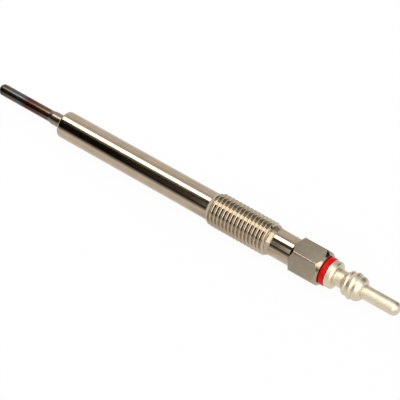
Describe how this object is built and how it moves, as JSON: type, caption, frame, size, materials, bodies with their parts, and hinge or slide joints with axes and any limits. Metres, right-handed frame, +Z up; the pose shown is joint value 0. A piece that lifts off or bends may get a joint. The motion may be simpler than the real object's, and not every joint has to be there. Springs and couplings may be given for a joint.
{
  "type": "diesel glow plug",
  "caption": "Slim threaded engine glow plug: sheathed heater rod, nickel-plated hexagon body, red insulating ring and turned push-on terminal pin.",
  "frame": {"origin": "on the axis, at the end of the housing where the seat cone begins", "axes": "+X along the axis from the heater tip to the terminal, +Z up with a flat of the hexagon underneath"},
  "size_m": [0.1411, 0.0116, 0.01],
  "materials": {
    "plated_body": "bright nickel plate, satin on the hexagon",
    "heater_tube": "heat tinted",
    "coil_wire": "drawn wire",
    "powder": "compacted powder",
    "seal_rubber": "matt",
    "electrode_steel": "drawn",
    "red_insulator": "moulded",
    "terminal_plating": "pale bright plate"
  },
  "bodies": {
    "root": {"housing": "plated_body", "glow_tube": "heater_tube", "heating_coil": "coil_wire", "control_coil": "coil_wire", "insulating_powder": "powder", "tube_seal": "seal_rubber", "center_electrode": "electrode_steel", "sealing_ring": "seal_rubber", "insulator_ring": "red_insulator", "terminal_pin": "terminal_plating"}
  },
  "joints": []
}
